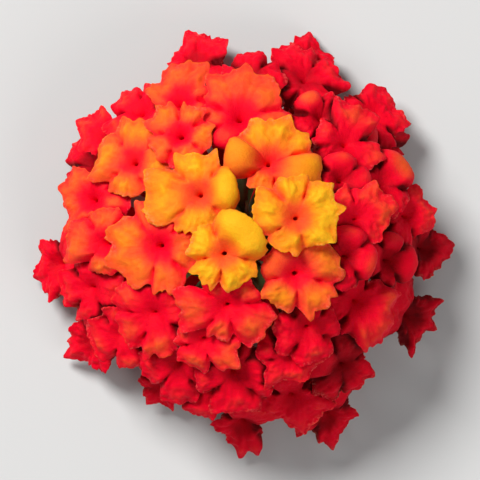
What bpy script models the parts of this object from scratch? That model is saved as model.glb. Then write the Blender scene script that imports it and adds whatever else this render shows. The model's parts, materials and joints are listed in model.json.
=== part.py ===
"""One lantana flower head, nipped off just below its florets and resting face up.

The florets stand round a small knob, the receptacle, each on its own tube, with their throats near a dome.
The outermost ones droop, and their lower lips rest on the surface. Lengths here are in millimetres, and each
mesh is written in metres. The origin is at the middle of the bottom of the box, and +Z points out of the head.
"""

import math

import bmesh
import bpy
import numpy as np
from mathutils import Vector
from mathutils.bvhtree import BVHTree

METRES = 0.001

# The dome that the throats lie on, and how far a limb leans out where the dome reaches LEAN_RADIUS
DOME_RADIUS = 16.0
LEAN_RADIUS = 15.0
LEAN_MOST = math.radians(43)
LEAN_POWER = 1.2

# The skirt is the lowest ring of florets: how far they lean out, and the level of the surface they rest on
SKIRT_LEAN = math.radians(49)
FLOOR = 0.2

# The knob that carries the florets, a ball drawn out along Z, and the stub of stalk under it
KNOB_RADIUS = 2.15
KNOB_HALF_HEIGHT = 2.6
KNOB_MIDDLE = 4.3
KNOB_LOWEST = -0.62
KNOB_STEPS = 10
STUB_RADIUS = 0.95
STUB_BEVEL = 0.08
STUB_CUT = FLOOR + 0.4
STALK_SIDES = 24

# One floret: its limb, the throat in the middle of the limb, and the tube behind it
LIMB_THICK = 0.25
LIMB_SWELL = 0.28
LIMB_DROOP = 0.5
MIDDLE_SHARE = 0.6
SINUS_REACH = 0.76
THROAT_RADIUS = 0.42
THROAT_DEPTH = 1.1
COLLAR_RADIUS = 0.62
COLLAR_HEIGHT = 0.05
TUBE_MOUTH = 0.74
TUBE_MIDDLE = 0.45
TUBE_FOOT = 0.34
TUBE_STEPS = 3
END_POINT = 0.12

# A tube's line as shares of its length: how far it runs straight on from the limb and from the knob
DOME_RUN = 0.3
SKIRT_RUN = 0.14
FOOT_RUN = 0.3

# Where the tubes stand on the knob: their gap to it, and how their feet are pushed evenly apart, step by step
FOOT_GAP = 0.32
SKIRT_RANK = 3.0
FOOT_STEPS = 80
FOOT_PUSH = 0.0016
FOOT_STRIDE = 0.03
FOOT_RETURN = 0.05

# Lobes of a limb, with 0 degrees at the lower lip: (way it points, half its width, its reach)
LOBES = (
    (0, 52, 1.10),
    (98, 46, 1.0),
    (180, 36, 0.86),
    (262, 46, 1.0),
)
# Where each lobe has its points, as a share of its half width, and their share of its reach
LOBE_OUTLINE = ((-1.0, SINUS_REACH), (-0.55, 1.0), (0.0, 0.97), (0.55, 1.0))
RIM_POINTS = len(LOBES) * len(LOBE_OUTLINE)

# What neighbours keep between them, and how far a lobe bends up over them before its whole floret rises
LAYER_GAP = 0.32
MIDDLE_BEND = 0.9
RIM_BEND = 2.0
BEND_CARRY = 0.45
THROAT_SHARE = 0.3
EDGE_SHARE = 0.48

# How a limb is held back from the tubes that go up past it: the heights over its throat where a tube matters
TUBE_CLEAR = 1.0
SHORTEST_REACH = 1.25
TUBE_FROM = -1.8
TUBE_TO = 1.6
NEARBY = 1.5
LINE_STEPS = 24

# Narrow bracts in a ring under the florets
BRACTS = 10
BRACT_WIDTH = 1.2
BRACT_THICK = 0.3
BRACT_ROOT = 1.55
BRACT_TIP = 6.4
BRACT_ROOT_HEIGHT = 1.55
BRACT_SAG = 0.75

# How far away rays between two limbs start
FAR = 6.0

# Florets of the dome: throat x and y, way the lower lip points in degrees, spread, age from 0 young to 1 old
DOME_FLORETS = (
    (-1.5, -0.7, 45, 6.4, 0.00),
    (-3.6, 4.1, 125, 8.1, 0.14),
    (4.0, 2.0, 5, 7.9, 0.12),
    (4.1, -2.3, -50, 7.3, 0.40),
    (-1.3, -4.8, -40, 8.1, 0.60),
    (-6.9, -0.1, 195, 7.8, 0.38),
    (2.1, 6.7, 65, 8.3, 0.30),
    (-9.1, 6.8, 175, 7.6, 0.36),
    (-5.1, 8.8, 115, 6.3, 0.46),
    (-0.3, 10.4, 97, 8.1, 0.58),
    (-3.2, -7.5, -105, 6.4, 0.66),
    (-7.3, -5.6, -130, 7.4, 0.70),
    (-11.3, 0.1, 185, 6.6, 0.60),
    (5.1, -6.6, -50, 6.4, 0.80),
    (7.9, -0.9, -10, 5.9, 0.84),
    (8.8, 2.0, 0, 7.6, 0.72),
    (7.9, 5.1, 20, 5.4, 0.80),
    (6.5, 10.4, 55, 6.3, 0.80),
    (8.4, 8.2, 25, 6.9, 0.78),
    (-5.2, 11.7, 105, 7.7, 0.60),
    (5.1, 13.7, 75, 7.4, 0.84),
    (10.7, 10.6, 48, 7.6, 0.84),
    (11.4, 4.9, 25, 6.3, 0.74),
    (13.5, 2.4, 5, 6.6, 0.80),
    (11.9, -1.3, -5, 5.8, 0.88),
    (9.3, -4.7, -22, 7.7, 0.78),
    (3.8, -8.7, -75, 7.1, 0.82),
    (8.2, -10.0, -48, 7.2, 0.92),
    (4.0, -12.6, -75, 7.7, 0.88),
    (-0.9, -10.3, -95, 7.2, 0.86),
    (-5.4, -9.9, -120, 7.6, 0.84),
    (-10.0, -7.5, -145, 6.6, 0.76),
    (-12.6, -3.6, 195, 7.7, 0.80),
    (-12.5, 3.7, 172, 8.1, 0.66),
    (-11.5, 8.8, 150, 7.1, 0.84),
    (-8.5, 10.9, 122, 6.4, 0.76),
    (0.7, 13.6, 88, 6.9, 0.96),
    (-3.0, -12.0, -102, 6.4, 0.88),
)
# Florets of the lowest ring, which droop until they touch the surface: the same five values
SKIRT_FLORETS = (
    (-3.9, 14.9, 100, 7.4, 0.90),
    (5.0, 15.0, 78, 7.4, 1.00),
    (14.9, -0.3, -3, 7.6, 0.98),
    (13.4, -5.8, -25, 7.6, 0.96),
    (6.9, -14.2, -65, 7.8, 0.98),
    (-0.1, -14.9, -90, 7.7, 0.92),
    (-6.7, -11.8, -125, 7.1, 0.92),
    (-11.7, -7.6, -155, 7.6, 0.94),
    (-15.2, -1.7, 190, 7.5, 0.84),
    (-12.4, 6.6, 150, 7.0, 0.95),
    (10.9, 8.4, 40, 7.0, 1.00),
)

# Colours down the ages of a floret, linear RGB
YOUNG_YELLOW = (0.95, 0.50, 0.02)
MIDDLE_ORANGE = (0.95, 0.16, 0.02)
OLD_RED = (0.62, 0.004, 0.02)
ORANGE_AGE = 0.4
STALK_GREEN = (0.16, 0.22, 0.06)
BRACT_GREEN = (0.20, 0.26, 0.10)


class Floret:
    """One floret's place: its throat, the way its limb faces, and the way its lower lip points."""

    def __init__(self, x, y, lip, spread, age, skirt):
        out = math.hypot(x, y)
        lean = SKIRT_LEAN if skirt else LEAN_MOST * (out / LEAN_RADIUS) ** LEAN_POWER
        height = math.sqrt(DOME_RADIUS**2 - out**2)
        way = np.array([x, y, 0.0]) / out
        self.throat = np.array([x, y, height])
        self.face = way * math.sin(lean) + np.array([0.0, 0.0, math.cos(lean)])
        heading = np.array([math.cos(math.radians(lip)), math.sin(math.radians(lip)), 0.0])
        self.lip = unit(heading - heading.dot(self.face) * self.face)
        self.side = np.cross(self.face, self.lip)
        self.reach = spread / 2
        self.age = age
        self.skirt = skirt
        self.limits = []
        self.middle_bend = [0.0] * RIM_POINTS
        self.rim_bend = [0.0] * RIM_POINTS

    def world(self, x, y, z):
        return self.throat + x * self.lip + y * self.side + z * self.face


def unit(vector):
    return vector / np.linalg.norm(vector)


def limb_outline(floret):
    """The limb's rim as (angle, reach), held back where another floret's tube goes up past it."""
    rim = []
    for way, half_width, lobe_reach in LOBES:
        for share, reach_share in LOBE_OUTLINE:
            angle = math.radians(way + share * half_width)
            reach = floret.reach * lobe_reach * reach_share
            for limit_angle, limit in floret.limits:
                facing = math.cos(angle - limit_angle)
                if facing > 0:
                    reach = min(reach, limit / facing)
            rim.append((angle, max(reach, SHORTEST_REACH)))
    return rim


def limb_rings(floret):
    """The limb's upper face as three rings of points, and its lower face as three more, rim first."""
    rim = limb_outline(floret)
    collar = []
    middle = []
    edge = []
    mouth = []
    for (angle, reach), middle_bend, rim_bend in zip(rim, floret.middle_bend, floret.rim_bend):
        along = math.cos(angle)
        across = math.sin(angle)
        half_way = MIDDLE_SHARE * reach
        collar.append(floret.world(COLLAR_RADIUS * along, COLLAR_RADIUS * across, COLLAR_HEIGHT))
        middle.append(floret.world(half_way * along, half_way * across, LIMB_SWELL + middle_bend))
        edge.append(floret.world(reach * along, reach * across, rim_bend - LIMB_DROOP))
        mouth.append(floret.world(TUBE_MOUTH * along, TUBE_MOUTH * across, -LIMB_THICK))
    lower = [[point - LIMB_THICK * floret.face for point in ring] for ring in (edge, middle)]
    return [collar, middle, edge], [*lower, mouth]


def foot_places(florets):
    """A place on the knob for each tube's foot: in the order of the florets, then pushed evenly apart."""
    ranked = sorted(
        range(len(florets)), key=lambda i: math.hypot(*florets[i].throat[:2]) + SKIRT_RANK * florets[i].skirt
    )
    homes = np.zeros((len(florets), 3))
    for rank, i in enumerate(ranked):
        x, y = florets[i].throat[:2]
        height = 1 - (rank + 0.5) / len(florets) * (1 - KNOB_LOWEST)
        across = math.sqrt(1 - height**2)
        homes[i] = (x / math.hypot(x, y) * across, y / math.hypot(x, y) * across, height)
    feet = homes
    for _ in range(FOOT_STEPS):
        apart = feet[:, None, :] - feet[None, :, :]
        distance = np.linalg.norm(apart, axis=2) + np.eye(len(florets))
        push = FOOT_PUSH * (apart / distance[:, :, None] ** 4).sum(axis=1)
        size = np.linalg.norm(push, axis=1)[:, None]
        feet = feet + push * np.minimum(1.0, FOOT_STRIDE / size) + FOOT_RETURN * (homes - feet)
        feet[:, 2] = np.maximum(feet[:, 2], KNOB_LOWEST)
        feet = feet / np.linalg.norm(feet, axis=1)[:, None]
    return feet


def tube_line(floret, foot, steps):
    """The middle of the tube from the throat down to its foot, as points on one smooth curve."""
    stretch = np.array([KNOB_RADIUS, KNOB_RADIUS, KNOB_HALF_HEIGHT])
    outward = unit(foot / stretch)
    start = foot * stretch + np.array([0.0, 0.0, KNOB_MIDDLE]) + FOOT_GAP * outward
    length = np.linalg.norm(floret.throat - start)
    run = SKIRT_RUN if floret.skirt else DOME_RUN
    pull = floret.throat - run * length * floret.face
    lift = start + FOOT_RUN * length * outward
    line = []
    for step in range(steps + 1):
        t = step / steps
        line.append(
            floret.throat * (1 - t) ** 3 + 3 * pull * t * (1 - t) ** 2 + 3 * lift * t**2 * (1 - t) + start * t**3
        )
    return line


def laying_order(floret):
    """The skirt first, then the dome from its edge to its top."""
    return (not floret.skirt, floret.throat[2])


def hold_back_from_tubes(florets, feet):
    """Note, for each limb, how far it may reach towards the tube of each floret that lies over it."""
    lines = [tube_line(floret, foot, LINE_STEPS) for floret, foot in zip(florets, feet)]
    for floret in florets:
        for other, line in zip(florets, lines):
            if laying_order(other) <= laying_order(floret):
                continue
            for point in line:
                offset = point - floret.throat
                height = offset.dot(floret.face)
                if TUBE_FROM < height < TUBE_TO:
                    along = offset.dot(floret.lip)
                    across = offset.dot(floret.side)
                    away = math.hypot(along, across)
                    if away < NEARBY * floret.reach:
                        floret.limits.append((math.atan2(across, along), away - TUBE_CLEAR))


def between(rings):
    """Points spread over the faces between rings, as well as the rings' own points."""
    shares = (0.0, 0.33, 0.67)
    points = []
    for inner, outer in zip(rings, rings[1:]):
        for i in range(len(inner)):
            j = (i + 1) % len(inner)
            for s in shares:
                for t in (0.0, 0.33, 0.67, 1.0):
                    near = inner[i] * (1 - s) + inner[j] * s
                    far = outer[i] * (1 - s) + outer[j] * s
                    points.append(near * (1 - t) + far * t)
    return points


def surface(rings):
    points = [Vector(point) for ring in rings for point in ring]
    count = len(rings[0])
    faces = []
    for row in range(len(rings) - 1):
        for i in range(count):
            j = (i + 1) % count
            faces.append((row * count + i, row * count + j, (row + 1) * count + j, (row + 1) * count + i))
    return points, faces


def find_needs(floret, laid, laid_samples):
    """How far the limb has to rise to clear what is laid: for its throat, its middle ring and its rim."""
    face = Vector(floret.face)
    throat = Vector(floret.throat)
    rim = limb_outline(floret)
    angles = [angle for angle, _ in rim]
    lower = limb_rings(floret)[1]
    own = BVHTree.FromPolygons(*surface(lower))
    found = []
    for point in between(lower):
        point = Vector(point)
        hit = laid.ray_cast(point + FAR * face, -face, 2 * FAR)[0]
        if hit is not None:
            found.append((point, (hit - point).dot(face) + LAYER_GAP))
    for point in laid_samples:
        if (point - throat).length < NEARBY * floret.reach:
            hit = own.ray_cast(point - FAR * face, face, 2 * FAR)[0]
            if hit is not None:
                found.append((hit, (point - hit).dot(face) + LAYER_GAP))
    throat_need = 0.0
    middle_need = [0.0] * RIM_POINTS
    rim_need = [0.0] * RIM_POINTS
    for point, need in found:
        offset = point - throat
        along = offset.dot(floret.lip)
        across = offset.dot(floret.side)
        turned = (math.atan2(across, along) - angles[0]) % (2 * math.pi)
        first = max(i for i in range(RIM_POINTS) if angles[i] - angles[0] <= turned)
        corners = (first, (first + 1) % RIM_POINTS)
        share = math.hypot(along, across) / max(rim[i][1] for i in corners)
        if share < THROAT_SHARE:
            throat_need = max(throat_need, need)
        for i in corners:
            middle_need[i] = max(middle_need[i], need)
            if share > EDGE_SHARE:
                rim_need[i] = max(rim_need[i], need)
    return throat_need, middle_need, rim_need


def lay_florets(florets):
    """From the lowest floret up, bend each limb's lobes over the limbs already laid, and raise it if it must."""
    laid_points = []
    laid_faces = []
    laid_samples = []
    for floret in sorted(florets, key=laying_order):
        floret.lift = 0.0
        if laid_faces:
            laid = BVHTree.FromPolygons(laid_points, laid_faces)
            throat_need, middle_need, rim_need = find_needs(floret, laid, laid_samples)
            lift = max(0.0, throat_need, max(middle_need) - MIDDLE_BEND, max(rim_need) - RIM_BEND)
            rim_bend = [max(0.0, need - lift) for need in rim_need]
            rim_bend = [
                max(bend, (rim_bend[i - 1] + rim_bend[(i + 1) % RIM_POINTS]) / 2)
                for i, bend in enumerate(rim_bend)
            ]
            floret.rim_bend = rim_bend
            floret.middle_bend = [
                max(0.0, need - lift, BEND_CARRY * bend) for need, bend in zip(middle_need, rim_bend)
            ]
            floret.lift = lift
            floret.throat = floret.throat + lift * floret.face
        upper = limb_rings(floret)[0]
        points, faces = surface(upper)
        laid_faces += [tuple(index + len(laid_points) for index in f) for f in faces]
        laid_points += points
        laid_samples += [Vector(point) for point in between(upper)]


def rest_skirt(florets):
    """Lower each floret of the skirt until its lowest point meets the surface."""
    for floret in florets:
        if floret.skirt:
            upper, lower = limb_rings(floret)
            lowest = min(point[2] for ring in lower for point in ring)
            floret.throat[2] += FLOOR - lowest


def material(name, colour, roughness):
    made = bpy.data.materials.new(name)
    made.use_nodes = True
    shader = made.node_tree.nodes["Principled BSDF"]
    shader.inputs["Base Color"].default_value = (*colour, 1.0)
    shader.inputs["Roughness"].default_value = roughness
    shader.inputs["Metallic"].default_value = 0.0
    return made


def age_colour(age):
    if age < ORANGE_AGE:
        low, high, share = YOUNG_YELLOW, MIDDLE_ORANGE, age / ORANGE_AGE
    else:
        low, high, share = MIDDLE_ORANGE, OLD_RED, (age - ORANGE_AGE) / (1 - ORANGE_AGE)
    return tuple(a * (1 - share) + b * share for a, b in zip(low, high))


def lofted(name, rings, finish):
    """One closed body through rings of points, each end closed by a low cone."""
    mesh = bpy.data.meshes.new(name)
    work = bmesh.new()
    loop = [work.verts.new(Vector(point) * METRES) for point in rings[0]]
    work.faces.new(loop)
    for ring in rings[1:]:
        edges = [work.edges.get((a, b)) or work.edges.new((a, b)) for a, b in zip(loop, loop[1:] + loop[:1])]
        made = bmesh.ops.extrude_edge_only(work, edges=edges)["geom"]
        partner = {}
        for edge in (part for part in made if isinstance(part, bmesh.types.BMEdge)):
            for face in edge.link_faces:
                for corner in face.verts:
                    if corner in edge.verts:
                        continue
                    mate = next(e.other_vert(corner) for e in corner.link_edges if e.other_vert(corner) in edge.verts)
                    partner[corner] = mate
        loop = [partner[corner] for corner in loop]
        for corner, point in zip(loop, ring):
            corner.co = Vector(point) * METRES
    work.faces.new(loop)
    bmesh.ops.recalc_face_normals(work, faces=work.faces)
    ends = [face for face in work.faces if len(face.verts) > 4]
    bmesh.ops.poke(work, faces=ends, offset=END_POINT * METRES)
    work.to_mesh(mesh)
    work.free()
    mesh.materials.append(finish)
    mesh.shade_smooth()
    mesh.set_sharp_from_angle(angle=math.radians(50))
    made = bpy.data.objects.new(name, mesh)
    bpy.context.collection.objects.link(made)
    return made


def tube_rings(floret, foot, first_angle):
    """Rings of evenly spaced points down the tube, each square to its line, with no twist between them."""
    angles = [first_angle + 2 * math.pi * i / RIM_POINTS for i in range(RIM_POINTS)]
    line = tube_line(floret, foot, TUBE_STEPS)
    lip = floret.lip
    rings = []
    for step in range(1, TUBE_STEPS + 1):
        ahead = line[min(step + 1, TUBE_STEPS)]
        axis = unit(line[step - 1] - ahead)
        lip = unit(lip - lip.dot(axis) * axis)
        side = np.cross(axis, lip)
        share = step / TUBE_STEPS
        radius = TUBE_MIDDLE * (1 - share) + TUBE_FOOT * share
        rings.append([line[step] + radius * (math.cos(a) * lip + math.sin(a) * side) for a in angles])
    return rings


def make_floret(name, floret, foot):
    """Throat, limb and tube in one body: out from the bottom of the throat, round the rim and down the tube."""
    upper, lower = limb_rings(floret)
    angles = [angle for angle, _ in limb_outline(floret)]
    pit = [
        floret.world(THROAT_RADIUS * math.cos(a), THROAT_RADIUS * math.sin(a), -THROAT_DEPTH) for a in angles
    ]
    finish = material(name + "_petal", age_colour(floret.age), 0.55)
    return lofted(name, [pit, *upper, *lower, *tube_rings(floret, foot, angles[0])], finish)


def make_stalk():
    """The knob and its stub, turned from one profile."""
    profile = [(0.0, STUB_CUT), (STUB_RADIUS - STUB_BEVEL, STUB_CUT), (STUB_RADIUS, STUB_CUT + STUB_BEVEL)]
    first = math.asin(-math.sqrt(1 - (STUB_RADIUS / KNOB_RADIUS) ** 2))
    for step in range(KNOB_STEPS):
        angle = first + (math.pi / 2 - first) * step / KNOB_STEPS
        profile.append((KNOB_RADIUS * math.cos(angle), KNOB_MIDDLE + KNOB_HALF_HEIGHT * math.sin(angle)))
    profile.append((0.0, KNOB_MIDDLE + KNOB_HALF_HEIGHT))
    work = bmesh.new()
    corners = [work.verts.new((x * METRES, 0.0, z * METRES)) for x, z in profile]
    edges = [work.edges.new(pair) for pair in zip(corners, corners[1:])]
    bmesh.ops.spin(
        work,
        geom=edges,
        cent=(0.0, 0.0, 0.0),
        axis=(0.0, 0.0, 1.0),
        angle=2 * math.pi,
        steps=STALK_SIDES,
        use_merge=True,
    )
    bmesh.ops.remove_doubles(work, verts=work.verts, dist=0.01 * METRES)
    bmesh.ops.recalc_face_normals(work, faces=work.faces)
    mesh = bpy.data.meshes.new("flower_stalk")
    work.to_mesh(mesh)
    work.free()
    mesh.materials.append(material("stalk", STALK_GREEN, 0.7))
    mesh.shade_smooth()
    mesh.set_sharp_from_angle(angle=math.radians(50))
    stalk = bpy.data.objects.new("flower_stalk", mesh)
    bpy.context.collection.objects.link(stalk)
    return stalk


def make_bract(name, turn, finish):
    """A narrow leaf-like blade: widest a third of the way out, drawn to a point, sagging a little."""
    rings = []
    for share, width_share in ((0.0, 0.55), (0.15, 0.85), (0.35, 1.0), (0.6, 0.8), (0.82, 0.45), (1.0, 0.12)):
        out = BRACT_ROOT + (BRACT_TIP - BRACT_ROOT) * share
        height = BRACT_ROOT_HEIGHT - BRACT_SAG * share**2
        half = BRACT_WIDTH / 2 * width_share
        ring = []
        for across, up in ((-half, 0.0), (0.0, -BRACT_THICK / 2), (half, 0.0), (0.0, BRACT_THICK / 2)):
            x = out * math.cos(turn) - across * math.sin(turn)
            y = out * math.sin(turn) + across * math.cos(turn)
            ring.append(np.array([x, y, height + up]))
        rings.append(ring)
    return lofted(name, rings, finish)


def centre_over_origin(pieces):
    """Shift every mesh so that the whole box stands on z = 0 with its middle over the origin."""
    corners = [corner.co for piece in pieces for corner in piece.data.vertices]
    low = Vector([min(corner[i] for corner in corners) for i in range(3)])
    high = Vector([max(corner[i] for corner in corners) for i in range(3)])
    shift = Vector(((low.x + high.x) / 2, (low.y + high.y) / 2, low.z))
    for piece in pieces:
        for corner in piece.data.vertices:
            corner.co -= shift


def main():
    for leftover in list(bpy.data.objects):
        bpy.data.objects.remove(leftover)
    florets = [Floret(*row, skirt=False) for row in DOME_FLORETS]
    florets += [Floret(*row, skirt=True) for row in SKIRT_FLORETS]
    feet = foot_places(florets)
    rest_skirt(florets)
    hold_back_from_tubes(florets, feet)
    rest_skirt(florets)
    lay_florets(florets)
    pieces = [make_stalk()]
    for number, (floret, foot) in enumerate(zip(florets, feet), start=1):
        pieces.append(make_floret(f"floret_{number:02d}", floret, foot))
    green = material("bract", BRACT_GREEN, 0.7)
    for number in range(BRACTS):
        pieces.append(make_bract(f"bract_{number + 1:02d}", 2 * math.pi * (number + 0.5) / BRACTS, green))
    centre_over_origin(pieces)
    return florets


FLORETS = main()
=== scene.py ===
"""The looks of a lantana flower head: a dome of velvety florets, yellow in the middle and red at the edge.

Lengths are in millimetres until a mesh is written. Each floret's throat, foot and the way it faces are read
from the frame, and its lobes are given as they are seen from above, where the camera stands.
"""

import json
import math
import random

import bpy
import numpy as np
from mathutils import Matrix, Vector, noise
from mathutils.bvhtree import BVHTree

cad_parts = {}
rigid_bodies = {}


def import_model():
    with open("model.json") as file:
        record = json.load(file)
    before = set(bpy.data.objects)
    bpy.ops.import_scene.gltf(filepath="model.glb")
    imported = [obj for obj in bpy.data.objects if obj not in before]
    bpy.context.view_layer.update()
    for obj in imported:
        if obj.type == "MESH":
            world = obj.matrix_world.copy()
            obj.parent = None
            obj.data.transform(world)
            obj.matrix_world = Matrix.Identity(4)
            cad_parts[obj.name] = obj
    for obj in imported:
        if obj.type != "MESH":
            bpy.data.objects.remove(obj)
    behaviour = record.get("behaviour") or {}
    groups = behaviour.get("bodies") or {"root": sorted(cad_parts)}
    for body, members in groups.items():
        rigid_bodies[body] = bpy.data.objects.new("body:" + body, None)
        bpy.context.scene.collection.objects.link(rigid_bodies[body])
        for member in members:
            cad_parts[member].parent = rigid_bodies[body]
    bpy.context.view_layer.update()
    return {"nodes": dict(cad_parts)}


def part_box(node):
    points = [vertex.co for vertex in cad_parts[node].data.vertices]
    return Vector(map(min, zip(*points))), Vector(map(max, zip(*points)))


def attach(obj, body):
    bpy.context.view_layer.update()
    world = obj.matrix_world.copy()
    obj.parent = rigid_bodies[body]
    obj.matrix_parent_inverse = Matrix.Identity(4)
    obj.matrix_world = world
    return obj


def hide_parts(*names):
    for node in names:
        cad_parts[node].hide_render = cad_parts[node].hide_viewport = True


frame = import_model()

METRES = 0.001

# The photograph's scale, and the pixel that the head's axis goes through
MM_PER_PIXEL = 0.0824
AXIS_PIXEL = (243.5, 244.5)
PHOTO_SIDE = 480

# Radii inside the tube, the throat's rings as (radius, height over the limb's plane), and the limb's start
FOOT_RADIUS = 0.3
TUBE_RADIUS = 0.36
FUNNEL = ((0.26, -1.0), (0.25, -0.7), (0.35, -0.4), (0.54, -0.16))
LIMB_START = 0.74

# The narrowest share of the funnel's radii, in a young floret, and how much more an old one closes
OPEN_THROAT = 0.8
THROAT_CLOSES = 0.4

# The sheet that each corolla is made of: spokes round it, and rings up the tube, the throat and out the limb
SPOKES = 144
TUBE_RINGS = 5
LIMB_RINGS = 15
RINGS = TUBE_RINGS + len(FUNNEL) + LIMB_RINGS
SPOKE_WAYS = np.arange(SPOKES) * math.tau / SPOKES
RING_PLACES = np.linspace(0, 1, LIMB_RINGS + 1)[1:] ** 0.9
PROFILE_STEPS = 90

# The sheet's thickness, the share of it at the very rim, and what each ring further in adds to that share
PETAL_THICK = 0.11
RIM_THICK = 0.22
THICKENING = 0.2

# A CAD floret's ends: how many sides they have, how deep the upper one lies and how far its middle rises
CAD_SIDES = 16
CAD_THROAT_DEPTH = 1.1
CAD_END_POINT = 0.12

# The florets of the skirt, whose limbs spread flatter, by this many degrees
SKIRT = range(39, 50)
SKIRT_SPREAD = 22

# What a limb keeps to whatever lies under it and to the tubes that pass it, from how far over it the limbs
# under it are looked for, how far it may be lifted off them, and how short and how long its lobes may be
GAP = 0.24
TUBE_CLEAR = 0.95
FAR = 5.0
LIFT_MOST = 1.8
SHORTEST_REACH = 1.2
LONGEST_REACH = 5.2

# The lowest that a petal and a bract may come over the surface that the head rests on
FLOOR_GAP = 0.06
BLADE_LOWEST = 0.35

# How near two throats are if their limbs can meet, or if one's tube can pass the other's limb, and how near
# the limb's plane and throat that tube is where it passes
LIMBS_MEET = 9.5
TUBE_NEAR = 8
PLANE_NEAR = 1.6
THROAT_NEAR = 6

# How near a petal is if it shuts a point in, how many slanted ways are tried, how far they slant and how far
# over the limb they start, and how much painted shade, a redder and darker tone, a shut-in point gets in a
# young floret, and more in an old one
SHADE_REACH = 4.0
SHADE_WAYS = 6
SHADE_SPREAD = 0.9
SHADE_START = 0.2
SHADE_TONE = 0.2
OLD_SHADE_TONE = 1.7

# The straight or slightly hollow edge between two corners, and how wide apart they may be
WEBBED = ("sail", "drape")
WEB_SAG = 0.1
WIDEST_WEB = 2.2

# A lobe's two corners and its middle point: how unlike each other the corners are, where they may stand, how
# far the point may, and how wide each is
CORNER_SIZES = (0.5, 1.5)
CORNER_PLACES = (0.56, 0.68)
CORNER_WIDTH = 0.12
POINT_PLACES = (-0.12, 0.12)
POINT_WIDTH = 0.2

# The folds and little pits that run in from the sinuses between lobes: how deep, how wide and how far out
CREASE = 0.42
CREASE_WIDTH = 0.26
PIT = 0.38
PIT_WIDTH = 0.16
PIT_PLACE = 0.5
PIT_LENGTH = 0.1

# How much painted shade reddens the pits and creases, and how much painted highlight lightens the crests
PIT_SHADE_TONE = 0.16
CREST_HIGHLIGHT_TONE = 0.16

# How much redder a limb is round a young throat, how much painted shade reddens an old limb's hollows, the
# sides of a lobe beside a sinus and the part near the rim, how much lighter it is out in an old limb and on
# the very edge, and how much painted highlight lightens the middle of a lobe
THROAT_TONE = 0.24
HOLLOW_SHADE_TONE = 0.22
SINUS_SHADE_TONE = 0.1
RIM_SHADE_TONE = 0.05
OUTER_TONE = 0.05
EDGE_TONE = 0.1
LOBE_HIGHLIGHT_TONE = 0.14

# How far the rim's small teeth stand out as a share of its reach, and how high the surface's own lumps are
TEETH = 0.055
RIPPLE = 0.25

# The petals' slots, and the age that each one's florets stay under
PETAL_SLOTS = (("petal_yellow", 0.2), ("petal_orange", 0.62), ("petal_red", math.inf))

# Colours down a petal's ageing, against 0.8 of its tone, the grain's darker specks, and the painted
# highlight of pale glinting specks along the rim
PETAL_STOPS = (
    (0.00, (1.0, 0.43, 0.012)),
    (0.08, (1.0, 0.31, 0.010)),
    (0.20, (1.0, 0.20, 0.013)),
    (0.30, (1.0, 0.115, 0.018)),
    (0.40, (1.0, 0.06, 0.022)),
    (0.50, (0.98, 0.013, 0.022)),
    (0.60, (0.93, 0.001, 0.02)),
    (0.71, (0.8, 0.0, 0.015)),
    (0.82, (0.5, 0.0, 0.009)),
    (0.92, (0.26, 0.0, 0.004)),
    (1.00, (0.12, 0.0, 0.002)),
)
GRAIN_STOPS = ((0.0, (0.8, 0.8, 0.8)), (0.5, (1.0, 1.0, 1.0)))
RIM_GLINTS_COLOUR = (0.3, 0.11, 0.08, 1)

# The knob that the florets stand on, and the stalk under it
KNOB_LOW = 1.5
KNOB_MIDDLE = 4.1
KNOB_RADIUS = 2.15
KNOB_RINGS = 12
STALK_RADIUS = 0.9

# How far the calyx cups reach past the feet of the tubes
CALYX_DROP = 0.25

# How wide and how thick each kind of bract is, how many spread under the head and how many are hidden in it
OUTER_BRACT = (1.5, 0.09)
FLORET_BRACT = (1.8, 0.07)
INNER_BRACT = (1.1, 0.08)
OUTER_BRACTS = 10
HIDDEN_BRACTS = 20

# The light and dark greens of the bracts and of the stalk, and their roughness
BRACT_GREENS = ((0.12, 0.19, 0.045, 1), (0.05, 0.1, 0.02, 1), 0.55)
STALK_GREENS = ((0.16, 0.22, 0.07, 1), (0.09, 0.14, 0.035, 1), 0.6)

# Bracts seen between young florets: their tips' x and y from the axis, their height and the way they face
INNER_BRACTS = (
    (0.2, 3.6, 13.0, 0.3),
    (0.9, 2.9, 12.6, 1.8),
    (-2.4, 7.4, 12.0, 2.6),
    (-8.6, 4.6, 10.5, 0.4),
    (-5.4, 1.2, 12.6, 1.2),
    (-4.1, -2.5, 12.6, 2.2),
    (4.9, 8.2, 11.6, 0.9),
)

# Lamps: name, place in metres, size and power
LAMPS = (
    ("key", (-0.25, 0.29, 0.44), 0.22, 4.0),
    ("fill", (0.30, -0.32, 0.36), 0.4, 0.95),
)
SKY = (0.95, 0.97, 1.0, 1)
SKY_STRENGTH = 0.18

# The camera's height in metres, its sensor's width, and how high on the head the photograph's scale holds
CAMERA_HEIGHT = 0.6
SENSOR = 36
SCALE_HEIGHT = 0.012

# How each kind of lobe is shaped: how it rises from the throat and turns down to the rim in degrees, where
# the turn starts, how much of the slope its rim gives up, how far its two corners and its middle point stand
# out, how much its rim waves, and where the sinus beside it lies. All but the degrees are shares of 1
LOBE_TRAITS = ("rise", "turn", "start", "flare", "corner", "point", "wave", "sinus")
LOBE_KINDS = {
    "dome": (20, 58, 0.4, 0.75, 0.07, 0.0, 0.09, 0.86),
    "pillow": (44, 104, 0.42, 0.0, 0.0, 0.0, 0.015, 0.85),
    "fan": (18, 30, 0.46, 0.9, 0.16, 0.04, 0.1, 0.84),
    "horn": (20, 28, 0.5, 0.6, 0.08, 0.3, 0.06, 0.78),
    "ruff": (22, 46, 0.42, 1.1, 0.14, 0.08, 0.15, 0.85),
    "sail": (26, 48, 0.4, 1.1, 0.0, 0.0, 0.1, 0.8),
    "drape": (40, 96, 0.42, 0.7, 0.0, 0.0, 0.13, 0.8),
    "wing": (8, 4, 0.6, 0.5, 0.22, 0.04, 0.1, 0.78),
}

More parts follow.
